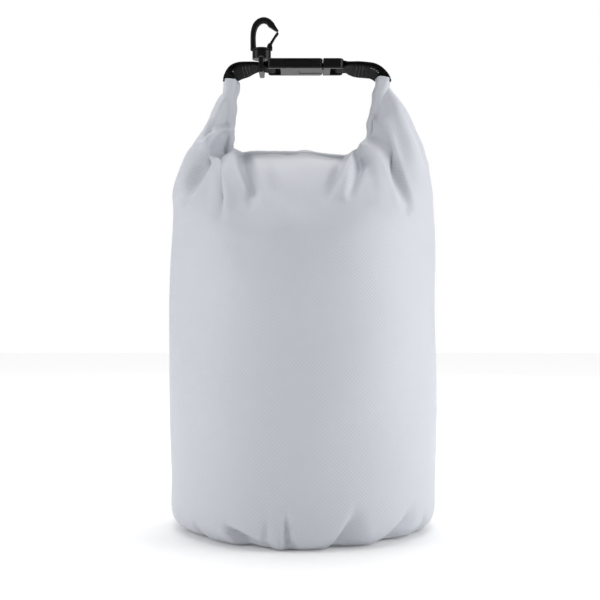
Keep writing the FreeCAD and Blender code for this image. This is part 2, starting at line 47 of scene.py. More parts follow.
def addNode(tree, kind, settings, inputs, output=0):
    made = tree.nodes.new(kind)
    for key, value in settings.items():
        setattr(made, key, value)
    for key, value in inputs.items():
        if isinstance(value, bpy.types.NodeSocket):
            tree.links.new(value, made.inputs[key])
        else:
            made.inputs[key].default_value = value
    return made.outputs[output]


class Wire:
    # a shader socket that can stand in a sum
    def __init__(self, finish, socket):
        self.finish = finish
        self.socket = socket

    def sum(self, operation, first, second):
        return self.finish.node("ShaderNodeMath", {"operation": operation}, {0: first, 1: second})

    def __add__(self, other):
        return self.sum("ADD", self, other)

    def __radd__(self, other):
        return self.sum("ADD", other, self)

    def __sub__(self, other):
        return self.sum("SUBTRACT", self, other)

    def __rsub__(self, other):
        return self.sum("SUBTRACT", other, self)

    def __mul__(self, other):
        return self.sum("MULTIPLY", self, other)

    def __rmul__(self, other):
        return self.sum("MULTIPLY", other, self)

    def __pow__(self, other):
        return self.sum("POWER", self, other)


class Finish:
    # one material: what is the same all over is set on the shader, the rest is wired
    def __init__(self, name, colour, **uniform):
        self.material = bpy.data.materials.new(name)
        self.material.use_nodes = True
        self.material.diffuse_color = (*colour, 1)
        self.tree = self.material.node_tree
        self.shader = self.tree.nodes["Principled BSDF"]
        self.shader.inputs["Base Color"].default_value = (*colour, 1)
        for socket, value in uniform.items():
            self.shader.inputs[socket.replace("_", " ")].default_value = value

    def node(self, kind, settings, inputs, output=0):
        plain = {key: value.socket if isinstance(value, Wire) else value for key, value in inputs.items()}
        return Wire(self, addNode(self.tree, kind, settings, plain, output))

    def place(self, layer=None):
        # a UV layer's coordinates, or the object's own
        if layer:
            return self.node("ShaderNodeUVMap", {"uv_map": layer}, {})
        return self.node("ShaderNodeTexCoord", {}, {}, "Object")

    def split(self, vector):
        return [self.node("ShaderNodeSeparateXYZ", {}, {0: vector}, axis) for axis in ("X", "Y", "Z")]

    def noise(self, vector, scale, detail=2.0, roughness=0.5):
        return self.node("ShaderNodeTexNoise", {},
                         {"Vector": vector, "Scale": scale, "Detail": detail, "Roughness": roughness})

    def wave(self, value):
        return self.node("ShaderNodeMath", {"operation": "COSINE"}, {0: value})

    def higher(self, first, second):
        return self.node("ShaderNodeMath", {"operation": "MAXIMUM"}, {0: first, 1: second})

    def between(self, value, low, high):
        return self.node("ShaderNodeMapRange", {"interpolation_type": "SMOOTHSTEP"},
                         {"Value": value, "From Min": low, "From Max": high})

    def mix(self, factor, first, second):
        return self.node("ShaderNodeMix", {"data_type": "RGBA"},
                         {0: factor, 6: (*first, 1) if isinstance(first, tuple) else first,
                          7: (*second, 1) if isinstance(second, tuple) else second}, 2)

    def bump(self, height, distance, strength=1.0, under=None):
        inputs = {"Height": height, "Distance": distance, "Strength": strength}
        if under:
            inputs["Normal"] = under
        return self.node("ShaderNodeBump", {}, inputs)

    def wire(self, **links):
        for socket, value in links.items():
            self.tree.links.new(value.socket, self.shader.inputs[socket.replace("_", " ")])
        return self.material


# finishes

ripstop = {
    "white": (0.54, 0.56, 0.605),
    "shade": (0.495, 0.515, 0.56),
    "line": (0.61, 0.63, 0.675),
    "pitch": 0.0021,        # distance between the reinforcing threads
    "sharpness": 5.0,
    "relief": 0.00009,
    "cloudScale": 14.0,
    "creaseScale": 55.0,
    "rubScale": 6.0,
    "crinkle": 0.0006,
}


def makeRipstop(name, layer):
    finish = Finish(name, ripstop["white"], Sheen_Weight=0.12, Sheen_Roughness=0.4, IOR=1.46,
                    Specular_IOR_Level=0.35)
    across, along, _ = finish.split(finish.place(layer))
    turn = 2 * math.pi / ripstop["pitch"] / math.sqrt(2)
    rising = finish.wave((across + along) * turn) * 0.5 + 0.5
    falling = finish.wave((across - along) * turn) * 0.5 + 0.5
    threads = finish.higher(rising ** ripstop["sharpness"], falling ** ripstop["sharpness"])
    body = finish.place()
    soft = finish.noise(body, ripstop["cloudScale"], 3.0)
    creased = finish.noise(body, ripstop["creaseScale"], 4.0, 0.6)
    rubbed = finish.between(finish.noise(body, ripstop["rubScale"], 4.0), 0.52, 0.72)
    shaded = finish.mix(soft * 0.5, ripstop["white"], ripstop["shade"])
    colour = finish.mix(threads * 0.55, shaded, ripstop["line"])
    relief = finish.bump(threads, ripstop["relief"])
    crinkled = finish.bump(creased, ripstop["crinkle"], 0.35, relief)
    rough = 0.44 + soft * 0.12 + rubbed * 0.06 - threads * 0.06
    return finish.wire(Base_Color=colour, Roughness=rough, Normal=crinkled)


webbingLook = {
    "black": (0.002, 0.002, 0.0025),
    "high": (0.008, 0.008, 0.009),
    "pick": 0.0013,         # distance between ribs along the strap
    "end": 0.0016,          # distance between the cords across it
    "relief": 0.00035,
    "fuzzScale": 900.0,
    "fuzz": 0.0002,
}


def makeWebbing(name, layer=None):
    finish = Finish(name, webbingLook["black"], Sheen_Weight=0.03, Sheen_Roughness=0.4,
                    Specular_IOR_Level=0.12)
    place = finish.place(layer)
    along, across, _ = finish.split(place)
    ribs = finish.wave(along * (2 * math.pi / webbingLook["pick"]) +
                       finish.wave(across * (math.pi / webbingLook["end"])) * 1.5)
    cords = finish.wave(across * (2 * math.pi / webbingLook["end"]))
    weave = ribs * 0.35 + cords * 0.15 + 0.5
    fuzz = finish.noise(finish.place(), webbingLook["fuzzScale"], 3.0, 0.7)
    colour = finish.mix(weave * fuzz, webbingLook["black"], webbingLook["high"])
    woven = finish.bump(weave, webbingLook["relief"])
    fuzzy = finish.bump(fuzz, webbingLook["fuzz"], 0.5, woven)
    return finish.wire(Base_Color=colour, Roughness=0.62 + fuzz * 0.25, Normal=fuzzy)


plasticLook = {
    "dark": (0.0015, 0.0015, 0.002),
    "light": (0.006, 0.006, 0.007),
    "grainScale": 1400.0,
    "grain": 0.00002,
    "flowScale": 70.0,      # slow unevenness left by the moulding
    "flow": 0.00025,
    "scuffScale": 260.0,
}


def makePlastic(name, gloss):
    finish = Finish(name, plasticLook["dark"], Coat_Roughness=0.12, IOR=1.45, Specular_IOR_Level=0.16)
    body = finish.place()
    speckle = finish.noise(body, plasticLook["grainScale"], 2.0)
    flow = finish.noise(body, plasticLook["flowScale"], 3.0)
    scuff = finish.between(finish.noise(body, plasticLook["scuffScale"], 5.0, 0.65), 0.58, 0.74)
    colour = finish.mix(scuff * 0.5 + flow * 0.2, plasticLook["dark"], plasticLook["light"])
    grained = finish.bump(speckle, plasticLook["grain"], 0.6)
    flowing = finish.bump(flow, plasticLook["flow"], 0.3, grained)
    return finish.wire(Base_Color=colour, Roughness=gloss + flow * 0.08 + scuff * 0.16,
                       Coat_Weight=0.12 - scuff * 0.1, Normal=flowing)


threadLook = {"strand": 0.0005, "relief": 0.0001}


def makeThread(name, dark, light):
    finish = Finish(name, dark, Sheen_Weight=0.3, Specular_IOR_Level=0.4)
    x, y, z = finish.split(finish.place())
    strands = finish.wave((x + y * 0.6 + z) * (2 * math.pi / threadLook["strand"])) * 0.5 + 0.5
    colour = finish.mix(strands, dark, light)
    return finish.wire(Base_Color=colour, Roughness=0.5 + strands * 0.2,
                       Normal=finish.bump(strands, threadLook["relief"], 0.8))


def makeStrip(name):
    finish = Finish(name, (0.5, 0.52, 0.55), Specular_IOR_Level=0.4)
    body = finish.place()
    cloud = finish.noise(body, 120.0, 3.0)
    colour = finish.mix(cloud, (0.42, 0.44, 0.47), (0.56, 0.58, 0.62))
    return finish.wire(Base_Color=colour, Roughness=0.35 + cloud * 0.15,
                       Normal=finish.bump(cloud, 0.0002, 0.5))


clothFinish = makeRipstop("coated_ripstop", "weave")
webFinish = makeWebbing("polyester_webbing", "weave")
hemFinish = makeWebbing("hem_webbing_weave")
buckleFinish = makePlastic("moulded_black", 0.30)
hookFinish = makePlastic("hook_black", 0.26)
threadFinish = makeThread("bonded_thread", (0.012, 0.012, 0.013), (0.045, 0.045, 0.05))
# pale thread for the rows along the straps' bends: partly the seam's thread, partly painted glints on the
# bend
paleThreadAndGlintFinish = makeThread("pale_thread_and_painted_glint", (0.32, 0.33, 0.35), (0.55, 0.56, 0.6))
stripFinish = makeStrip("stiffener_plastic")
print("finishes made")

for node, finish in {
    "buckle_socket": buckleFinish, "buckle_plug": buckleFinish, "prong_front": buckleFinish,
    "prong_back": buckleFinish, "swivel_eye": hookFinish, "snap_hook": hookFinish,
    "hook_gate": hookFinish, "hem_webbing": hemFinish, "stiffener_strip": stripFinish,
}.items():
    for holder in nodes[node].material_slots:
        holder.material = finish


def smooth(value):
    value = np.clip(value, 0, 1)
    return value * value * (3 - 2 * value)


def squarish(value, power):
    return math.copysign(abs(value) ** power, value)


def show(name, data):
    thing = bpy.data.objects.new(name, data)
    bpy.context.scene.collection.objects.link(thing)
    return thing


def addMesh(name, points, faces, corners, finish):
    # corners: one (u, v) pair for every corner of every face, in order
    mesh = bpy.data.meshes.new(name)
    mesh.from_pydata([tuple(p) for p in points], [], faces)
    layer = mesh.uv_layers.new(name="weave")
    layer.data.foreach_set("uv", np.asarray(corners, np.float32).ravel())
    mesh.materials.append(finish)
    mesh.polygons.foreach_set("use_smooth", [True] * len(faces))
    return show(name, mesh)


def ringFaces(bands, count, first=0):
    # faces between rings of count points each, the first ring starting at point first
    return [(first + r * count + c, first + r * count + (c + 1) % count,
             first + (r + 1) * count + (c + 1) % count, first + (r + 1) * count + c)
            for r in range(bands) for c in range(count)]


def settle(piece):
    # the modifiers' result becomes the piece's own mesh
    bpy.context.view_layer.update()
    result = bpy.data.meshes.new_from_object(piece.evaluated_get(bpy.context.evaluated_depsgraph_get()))
    piece.modifiers.clear()
    piece.shape_key_clear()
    old = piece.data
    piece.data = result
    bpy.data.meshes.remove(old)
    result.name = piece.name


def subdivide(piece):
    finer = piece.modifiers.new("finer", "SUBSURF")
    finer.levels = finer.render_levels = 1
    settle(piece)


def giveWall(piece, thickness):
    wall = piece.modifiers.new("wall", "SOLIDIFY")
    wall.thickness = thickness
    wall.offset = -1
    settle(piece)


def readVectors(items, key):
    flat = np.empty(len(items) * 3, np.float32)
    items.foreach_get(key, flat)
    return flat.reshape(-1, 3).astype(float)


def outward(piece):
    build = bmesh.new()
    build.from_mesh(piece.data)
    bmesh.ops.recalc_face_normals(build, faces=build.faces)
    build.to_mesh(piece.data)
    build.free()


# camera and light

view = {"distance": 0.9, "height": 0.186, "lens": 67, "shiftX": -0.005, "shiftY": -0.0133}

camera = bpy.data.cameras.new("camera")
camera.lens, camera.sensor_width = view["lens"], 36
camera.shift_x, camera.shift_y = view["shiftX"], view["shiftY"]
cameraObject = show("camera", camera)
cameraObject.location = (0, -view["distance"], view["height"])
cameraObject.rotation_euler = (math.pi / 2, 0, 0)
bpy.context.scene.camera = cameraObject
bpy.context.scene.view_settings.view_transform = "Standard"

softboxes = {   # place, width, height, power
    "right": ((1.05, -0.25, 0.45), 0.7, 1.0, 7.6),
    "left": ((-1.05, -0.35, 0.5), 0.7, 1.0, 5.2),
    "front": ((-0.3, -1.6, 1.1), 0.8, 0.8, 0.4),
    "top": ((0.0, 0.3, 1.5), 1.2, 1.2, 0.6),
    "back": ((0.2, 1.4, 0.7), 1.0, 0.8, 1.5),
}
for name, (place, width, height, power) in softboxes.items():
    light = bpy.data.lights.new(f"softbox_{name}", "AREA")
    light.shape, light.size, light.size_y, light.energy = "RECTANGLE", width, height, power
    lamp = show(f"softbox_{name}", light)
    lamp.location = place
    lamp.rotation_euler = (Vector((0, 0, 0.18)) - Vector(place)).to_track_quat("-Z", "Y").to_euler()

# broad and even, for a soft shadow all round the base
overhead = {"power": 2.3, "spread": 70, "lean": -22}

ceiling = bpy.data.lights.new("ceiling", "SUN")
ceiling.energy, ceiling.angle = overhead["power"], math.radians(overhead["spread"])
ceilingObject = show("ceiling", ceiling)
ceilingObject.rotation_euler = (math.radians(overhead["lean"]), 0, 0)

backdrop = {"glow": 0.30, "floorReach": 2.5, "floorWhite": (0.9, 0.9, 0.9), "floorGlow": 0.07}

# the world lights the object softly, and the camera sees it as plain white
world = bpy.data.worlds.new("studio")
bpy.context.scene.world = world
world.use_nodes = True
worldTree = world.node_tree
glow = worldTree.nodes["Background"]
glow.inputs["Color"].default_value = (1, 1, 1, 1)
glow.inputs["Strength"].default_value = backdrop["glow"]
seen = addNode(worldTree, "ShaderNodeBackground", {}, {"Color": (1, 1, 1, 1)})
toCamera = addNode(worldTree, "ShaderNodeLightPath", {}, {}, "Is Camera Ray")
either = addNode(worldTree, "ShaderNodeMixShader", {}, {0: toCamera, 1: glow.outputs[0], 2: seen})
worldTree.links.new(either, worldTree.nodes["World Output"].inputs[0])

floorMesh = bpy.data.meshes.new("floor")
floorReach = backdrop["floorReach"]
floorMesh.from_pydata([(-floorReach, -floorReach, 0), (floorReach, -floorReach, 0),
                       (floorReach, floorReach, 0), (-floorReach, floorReach, 0)], [], [(0, 1, 2, 3)])
floorFinish = Finish("studio_paper", backdrop["floorWhite"], Emission_Strength=backdrop["floorGlow"],
                     Emission_Color=(1, 1, 1, 1), Specular_IOR_Level=0.1)
paper = floorFinish.noise(floorFinish.place(), 300.0, 2.0)
floorMesh.materials.append(floorFinish.wire(Roughness=0.85 + paper * 0.1))
show("floor", floorMesh)
print("studio set up")


# bag: round wall, gathered neck and rolled mouth from one piece of cloth

bag = {
    "columns": 160,
    "radius": 0.106,
    "corner": 0.018,        # rounding of the wall into the base
    "keel": (-7, 21, 0.011),    # where the rounding is tighter: angle, half width in degrees, amount
    "cornerRows": 6,
    "wallRows": 12,
    "clothFoot": 0.140,     # the cloth hangs and folds freely above this
    "clothRows": 44,
    "drapeColumns": 184,    # finer while it drapes
    "drapeRows": 54,
    "frontHeight": 0.350,   # length of wall up to the roll, at the middle and at the sides
    "sideHeight": 0.367,
    "unevenness": 0.0006,   # share by which the undraped cloth's points are off the round
    "lapHalf": 0.006,       # lap of the welded seam down the back
    "lapFrom": 0.05,
    "lapHeight": 0.0004,
    "wall": 0.0006,
    "seed": 7,
}

drape = {
    "quality": 6,
    "mass": 0.0003,         # of one point, in kg
    "air_damping": 2,
    "tension_stiffness": 200,
    "compression_stiffness": 100,
    "shear_stiffness": 20,
    "bending_stiffness": 3,
    "tension_damping": 5,
    "compression_damping": 5,
    "shear_damping": 5,
    "bending_damping": 0.5,
    "use_pressure": True,
    "uniform_pressure_force": 12,
}
drapeTime = {"drawn": 30, "end": 40, "cache": 45}     # in frames
drapeGravity = 0.3
drapeGap = 0.0006

roll = {
    # outer face of the roll in XZ, with the radius of each bend
    "path": [(-0.064, 0.356, 0), (-0.0715, 0.2855, 0.0150), (0.0585, 0.2855, 0.019), (0.071, 0.356, 0)],
    "inset": 0.004,         # the cloth meets the roll this far inside its outer face
    "armFullness": 0.5,     # how much more cloth is gathered in the arms than in the middle
    "middleHalf": 0.18,
    "fullOver": 0.1,
    "halfDepth": 0.0152,
    "neckHalfDepth": 0.0125,
    "thickness": 0.013,
    "turns": 1.7,
    "firstAngle": -14,      # where the cloth starts round the roll, in degrees
    "overlapFrom": 0.62,    # the turn from which the cloth lies under the first layer
    "rows": 22,
    "rowLength": 0.0045,
    "layerStep": 0.0014,
    "squareness": 3.4,
    "ruffle": 0.0009,
    # rise of the roll's top edge along x
    "waver": [(-0.068, 0), (-0.050, 0.0006), (-0.040, 0.0018), (0.005, 0.0014),
              (0.022, -0.0008), (0.034, -0.0016), (0.050, -0.0012), (0.064, 0)],
}

neckShape = {
    "centre": 0.49,         # share of the front where it is taut
    "centreHalf": 0.235,
    "centreFade": 0.07,
    "tautFrom": 0.42,       # and the share of the draped height above which it is
    "taut": 0.85,
    "tautArms": 0.6,
    "armFade": 0.08,
    "calm": 0.93,           # how much of the draped folds' sway is taken out low down
    "calmPast": 0.19,
    "calmFade": 0.17,
    "narrowing": 0.0225,    # how much the round wall draws in towards the neck, and from where
    "narrowsFrom": 0.3,
    "shoulder": 0.92,
    "ironing": 7,           # how often the draped cloth is evened out
    "easeBelow": 7,
    "easeAbove": 4,
    "easePasses": 8,
    # outer edge of each arm: height and distance from the middle
    "left": [(0.244, 0.106), (0.2655, 0.1056), (0.277, 0.102), (0.295, 0.0930), (0.317, 0.0850),
             (0.3345, 0.0775), (0.3495, 0.0695), (0.357, 0.0640)],
    "right": [(0.244, 0.1055), (0.265, 0.1045), (0.290, 0.1016), (0.302, 0.0984), (0.317, 0.0928),
              (0.333, 0.0845), (0.345, 0.0775), (0.355, 0.0720)],
}


def loopPath(inset):
    # the roll's path, moved towards the inside of the loop
    sides = [inset, inset, -inset, -inset]
    corners = [np.array((x + side, z + (inset if bend else 0)))
               for (x, z, bend), side in zip(roll["path"], sides)]
    line = [corners[0]]
    for k in (1, 2):
        bend = roll["path"][k][2] - inset
        before = corners[k - 1] - corners[k]
        after = corners[k + 1] - corners[k]
        before /= np.linalg.norm(before)
        after /= np.linalg.norm(after)
        half = math.acos(before @ after) / 2
        middle = corners[k] + (before + after) / np.linalg.norm(before + after) * bend / math.sin(half)
        ends = [corners[k] + side * bend / math.tan(half) - middle for side in (before, after)]
        first, last = (math.atan2(end[1], end[0]) for end in ends)
        last += 2 * math.pi if last < first else 0
        line += [middle + bend * np.array((math.cos(a), math.sin(a))) for a in np.linspace(first, last, 16)]
    line.append(corners[3])
    line = np.array(line)
    reach = np.concatenate([[0], np.cumsum(np.linalg.norm(np.diff(line, axis=0), axis=1))])
    return line, reach


shareSteps = np.linspace(0, 1, 400)
towardsArm = np.clip((np.abs(shareSteps - 0.5) - roll["middleHalf"]) / roll["fullOver"], 0, 1)
slack = 1 / (1 + roll["armFullness"] * towardsArm)
shareAlong = np.concatenate([[0], np.cumsum((slack[1:] + slack[:-1]) / 2)])
shareAlong /= shareAlong[-1]


def pathPoint(share, inset):
    # place (x, z) and inward direction on the roll's path for a share of the cloth's half width
    line, reach = loopPath(inset)
    far = np.interp(share, shareSteps, shareAlong) * reach[-1]
    place = np.array([np.interp(far, reach, line[:, k]) for k in (0, 1)])
    near = np.array([np.interp([max(far - 0.002, 0), min(far + 0.002, reach[-1])], reach, line[:, k])
                     for k in (0, 1)])
    way = near[:, 1] - near[:, 0]
    way /= np.linalg.norm(way)
    place[1] += np.interp(place[0], *np.array(roll["waver"]).T)
    return place, np.array((-way[1], way[0]))


columns = bag["columns"]
angles = 2 * math.pi * np.arange(columns) / columns


def mouthLine(around):
    # where the top edge of the neck meets the roll
    places = np.zeros((len(around), 3))
    half = roll["neckHalfDepth"]
    for c, angle in enumerate(np.degrees(around)):
        front = angle > 180
        share = (angle - 180) / 180 if front else 1 - angle / 180
        edge = min(share, 1 - share) * math.pi * bag["radius"]
        depth = half * math.sin(min(1, edge / half) * math.pi / 2)
        (x, z), _ = pathPoint(share, roll["inset"])
        places[c] = (x, -depth if front else depth, z)
    return places


def resample(grid, rowPlaces, columnPlaces):
    # grid of points read between its rows and, all the way round, between its columns
    low = np.minimum(rowPlaces.astype(int), len(grid) - 2)
    part = (rowPlaces - low)[:, None, None]
    rows = grid[low] * (1 - part) + grid[low + 1] * part
    left = columnPlaces.astype(int) % grid.shape[1]
    part = (columnPlaces - columnPlaces.astype(int))[None, :, None]
    return rows[:, left] * (1 - part) + rows[:, (left + 1) % grid.shape[1]] * part


def drapeNeck():
    # the upper wall as cloth: its top edge is drawn onto the roll while the air inside holds it out
    rowCount, count = ((bag["drapeRows"], bag["drapeColumns"]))
    share = np.linspace(0, 1, rowCount + 1)[:, None]
    around = 2 * math.pi * np.arange(count) / count
    sideways = np.cos(around)
    topHeight = bag["frontHeight"] + (bag["sideHeight"] - bag["frontHeight"]) * sideways ** 2
    grid = np.zeros((len(share), count, 3))
    grid[:, :, 0] = bag["radius"] * sideways
    grid[:, :, 1] = bag["radius"] * np.sin(around)
    grid[:, :, 2] = bag["clothFoot"] + (topHeight - bag["clothFoot"]) * share
    mouth = mouthLine(around)
    chance = np.random.default_rng(bag["seed"])
    start = grid.reshape(-1, 3).copy()
    start[:, :2] *= 1 + chance.normal(0, bag["unevenness"], (len(start), 1))
    drawn = start.reshape(grid.shape).copy()
    drawn[-1] = mouth
    mesh = bpy.data.meshes.new("neck_cloth")
    mesh.from_pydata([tuple(p) for p in start], [], ringFaces(rowCount, count))
    cloth = show("neck_cloth", mesh)
    cloth.shape_key_add(name="straight")
    key = cloth.shape_key_add(name="rolled")
    key.data.foreach_set("co", drawn.astype(np.float32).ravel())
    key.value = 0
    key.keyframe_insert("value", frame=1)
    key.value = 1
    key.keyframe_insert("value", frame=drapeTime["drawn"])
    held = cloth.vertex_groups.new(name="held")
    held.add(list(range(3 * count)) + list(range(len(start) - count, len(start))), 1.0, "REPLACE")
    modifier = cloth.modifiers.new("drape", "CLOTH")
    for setting, value in drape.items():
        setattr(modifier.settings, setting, value)
    modifier.settings.vertex_group_mass = "held"
    modifier.settings.effector_weights.gravity = drapeGravity
    modifier.collision_settings.distance_min = drapeGap
    modifier.point_cache.frame_end = drapeTime["cache"]
    bpy.context.scene.frame_end = drapeTime["cache"]
    for step in range(1, drapeTime["end"] + 1):
        bpy.context.scene.frame_set(step)
    settled = cloth.evaluated_get(bpy.context.evaluated_depsgraph_get()).to_mesh()
    points = readVectors(settled.vertices, "co").reshape(grid.shape)
    action = cloth.data.shape_keys.animation_data.action
    bpy.data.objects.remove(cloth)
    bpy.data.meshes.remove(mesh)
    bpy.data.actions.remove(action)
    bpy.context.scene.frame_set(1)
    points = resample(points, np.linspace(0, rowCount, bag["clothRows"] + 1),
                      np.arange(columns) * count / columns)
    points[-1] = mouthLine(angles)
    return points


def wallRows():
    # the lower wall, from under the base's edge up to the draped cloth
    middle, half, amount = bag["keel"]
    front = np.degrees(np.arctan2(np.cos(angles), -np.sin(angles)))
    corner = bag["corner"] - amount * np.clip(1 - np.abs(front - middle) / half, 0, 1)
    corner += 0.002 * np.sin(angles * 7 + 0.6)
    turns = np.linspace(-math.pi / 2, 0, bag["cornerRows"] + 1)[:, None]
    radius = bag["radius"] - corner + corner * np.cos(turns)
    height = corner + corner * np.sin(turns)
    share = np.arange(1, bag["wallRows"])[:, None] / bag["wallRows"]
    radius = np.concatenate([radius, np.full((bag["wallRows"] - 1, columns), bag["radius"])])
    height = np.concatenate([height, corner + (bag["clothFoot"] - corner) * share])
    return np.stack([radius * np.cos(angles), radius * np.sin(angles), height], axis=2)


def rollRows():
    # the front cloth carried on round the roll and in towards its core
    half = columns // 2 + 1
    rows = []
    for row in range(1, roll["rows"] + 1):
        wrap = row / roll["rows"] * roll["turns"]
        turned = math.radians(roll["firstAngle"]) + 2 * math.pi * wrap
        inset = roll["layerStep"] * max(0, wrap - roll["overlapFrom"])
        power = 2 / roll["squareness"]
        deep = (roll["halfDepth"] - inset) * squarish(math.cos(turned), power)
        rise = (roll["thickness"] / 2 - inset) * squarish(math.sin(turned), power)
        outward = max(0, 1 - wrap)
        places = []
        for share in np.linspace(0, 1, half):
            line = pathPoint(share, 0)
            ruffle = roll["ruffle"] * outward * (
                math.sin(share * 61 + wrap * 3.1) + 0.7 * math.sin(share * 103 - wrap * 5.0)
                + 0.5 * math.sin(share * 37 + 1.3))
            lift = roll["thickness"] / 2 + rise * (1 + ruffle / 0.0065)
            x, z = line[0] + line[1] * lift
            places.append((x, -deep * (1 + ruffle / 0.014 * 0.6), z))
        rows.append(places)
    return np.array(rows)


def ironNeck(neck):
    # takes the small lumps out of the draped cloth and leaves its long folds
    rows = np.linspace(0, 1, len(neck))[1:-1, None, None]
    part = 0.6 * smooth((0.995 - rows) / 0.08)
    for _ in range(neckShape["ironing"]):
        upright = (neck[:-2] + neck[2:]) / 2
        level = (np.roll(neck, 1, axis=1) + np.roll(neck, -1, axis=1))[1:-1] / 2
        neck[1:-1] += (upright * 0.6 + level * 0.4 - neck[1:-1]) * part
    return neck


def smoothCentre(neck):
    # low down the cloth is brought back to the round wall, and the middle of the front is drawn taut
    # from there up to the roll
    rows = np.linspace(0, 1, len(neck))[:, None]
    calm = neckShape["calm"] * smooth((neckShape["tautFrom"] + neckShape["calmPast"] - rows)
                                      / neckShape["calmFade"])
    above = np.clip(rows - neckShape["narrowsFrom"], 0, 1)
    wallRadius = bag["radius"] - neckShape["narrowing"] * above ** 1.5
    for axis, turned in ((0, np.cos(angles)), (1, np.sin(angles))):
        neck[:, :, axis] += (wallRadius * turned - neck[:, :, axis]) * calm
    share = np.clip((np.degrees(angles) - 180) / 180, 0, 1)
    off = np.abs(share - neckShape["centre"])
    hold = smooth((neckShape["centreHalf"] - off) / neckShape["centreFade"]) * neckShape["taut"]
    arms = smooth((0.5 - np.abs(share - 0.5)) / neckShape["armFade"])
    hold = np.maximum(hold, neckShape["tautArms"] * arms)
    tautFrom = neckShape["tautFrom"]
    rise = np.clip((np.linspace(0, 1, len(neck)) - tautFrom) / (1 - tautFrom), 0, 1)
    start = neck[round(tautFrom * (len(neck) - 1))]
    mouth = neck[-1]
    for c in np.nonzero(hold)[0]:
        a = rise * math.pi / 2
        lean = np.cos(a) ** neckShape["shoulder"]
        depth = mouth[c, 1] + (start[c, 1] - mouth[c, 1]) * lean
        height = start[c, 2] + (mouth[c, 2] - start[c, 2]) * np.sin(a) ** neckShape["shoulder"]
        across = start[c, 0] + (mouth[c, 0] - start[c, 0]) * smooth(rise)
        taut = np.stack([across, depth, height], axis=1)
        part = (hold[c] * smooth(rise / 0.1))[:, None]
        neck[:, c] += (taut - neck[:, c]) * part
    return neck


outline = {
    "from": 0.25,           # heights between which the arms are fitted, in bands
    "to": 0.3561,
    "band": 0.004,
    "bandHalf": 0.005,
    "armFrom": 0.03,        # an arm lies further from the middle than this
    "least": 0.5,           # how far the cloth may be drawn in or out
    "most": 1.9,
    "fade": 0.015,
}


def fitOutline(neck):
    # each arm's outer edge follows its outline, measured from the roll's path outwards
    for side, edge in ((-1, neckShape["left"]), (1, neckShape["right"])):
        heights, reaches = np.array(edge).T
        path = loopPath(roll["inset"])[0]
        ownRoll = np.array([(abs(x), z) for x, z in path if x * side > outline["armFrom"]])
        ownRoll = ownRoll[np.argsort(ownRoll[:, 1])]
        across, up = neck[:, :, 0], neck[:, :, 2]
        outside = across * side
        bands = np.arange(outline["from"], outline["to"], outline["band"])
        widest = np.array([outside[np.abs(up - band) < outline["bandHalf"]].max() for band in bands])
        inner = np.interp(up, ownRoll[:, 1], ownRoll[:, 0]) - roll["inset"]
        wide = np.interp(up, bands, widest)
        wanted = np.interp(up, heights, reaches)
        stretch = (wanted - inner) / np.maximum(wide - inner, 0.004)
        stretch = np.clip(stretch, outline["least"], outline["most"])
        stretch = 1 + (stretch - 1) * smooth((up - outline["from"]) / outline["fade"])
        moved = np.where(outside > inner, inner + (outside - inner) * stretch, outside)
        neck[:-1, :, 0] = (moved * side)[:-1] * (outside[:-1] > 0) + across[:-1] * (outside[:-1] <= 0)
    return neck


def easeSeam(rings, wraps):
    # the cloth runs on over the roll without a step: rows near the roll are eased along each column
    half = columns // 2
    near, over = neckShape["easeBelow"], neckShape["easeAbove"]
    order = np.arange(half, columns + 1) % columns
    strip = np.concatenate([rings[-near:, order], wraps[:over]])
    weight = np.interp(np.arange(len(strip)), [0, near - 1, len(strip) - 1], [0, 0.5, 0])[:, None, None]
    for _ in range(neckShape["easePasses"]):
        middle = (strip[:-2] + strip[2:]) / 2
        strip[1:-1] += (middle - strip[1:-1]) * weight[1:-1]
    rings[-near:, order[1:-1]] = strip[:near, 1:-1]
    wraps[:over] = strip[near:]


def makeBagFabric():
    rings = np.concatenate([wallRows(), fitOutline(smoothCentre(ironNeck(drapeNeck())))])
    wraps = rollRows()
    easeSeam(rings, wraps)
    ringCount, half = len(rings), columns // 2
    points = np.concatenate([rings.reshape(-1, 3), wraps.reshape(-1, 3)])
    # length of cloth up each column, for the weave
    spans = np.linalg.norm(np.diff(rings, axis=0), axis=2).mean(1)
    heights = np.concatenate([[0], np.cumsum(spans)])
    width = 2 * math.pi * bag["radius"] / columns

    def ringPoint(r, c):
        return r * columns + c % columns

    def wrapPoint(r, c):
        # row 0 of the roll is the neck's top edge
        if r == 0:
            return ringPoint(ringCount - 1, half + c)
        return ringCount * columns + (r - 1) * (half + 1) + c

    faces, corners = [], []

    def addFace(point, r, c, left, low, high):
        faces.append((point(r, c), point(r, c + 1), point(r + 1, c + 1), point(r + 1, c)))
        near, far = left * width, (left + 1) * width
        corners.extend([(near, low), (far, low), (far, high), (near, high)])

    for r in range(ringCount - 1):
        for c in range(columns):
            addFace(ringPoint, r, c, c, heights[r], heights[r + 1])
    for r in range(roll["rows"]):
        low, high = (heights[-1] + row * roll["rowLength"] for row in (r, r + 1))
        for c in range(half):
            addFace(wrapPoint, r, c, half + c, low, high)
    return addMesh("bag_fabric", points, faces, corners, clothFinish)


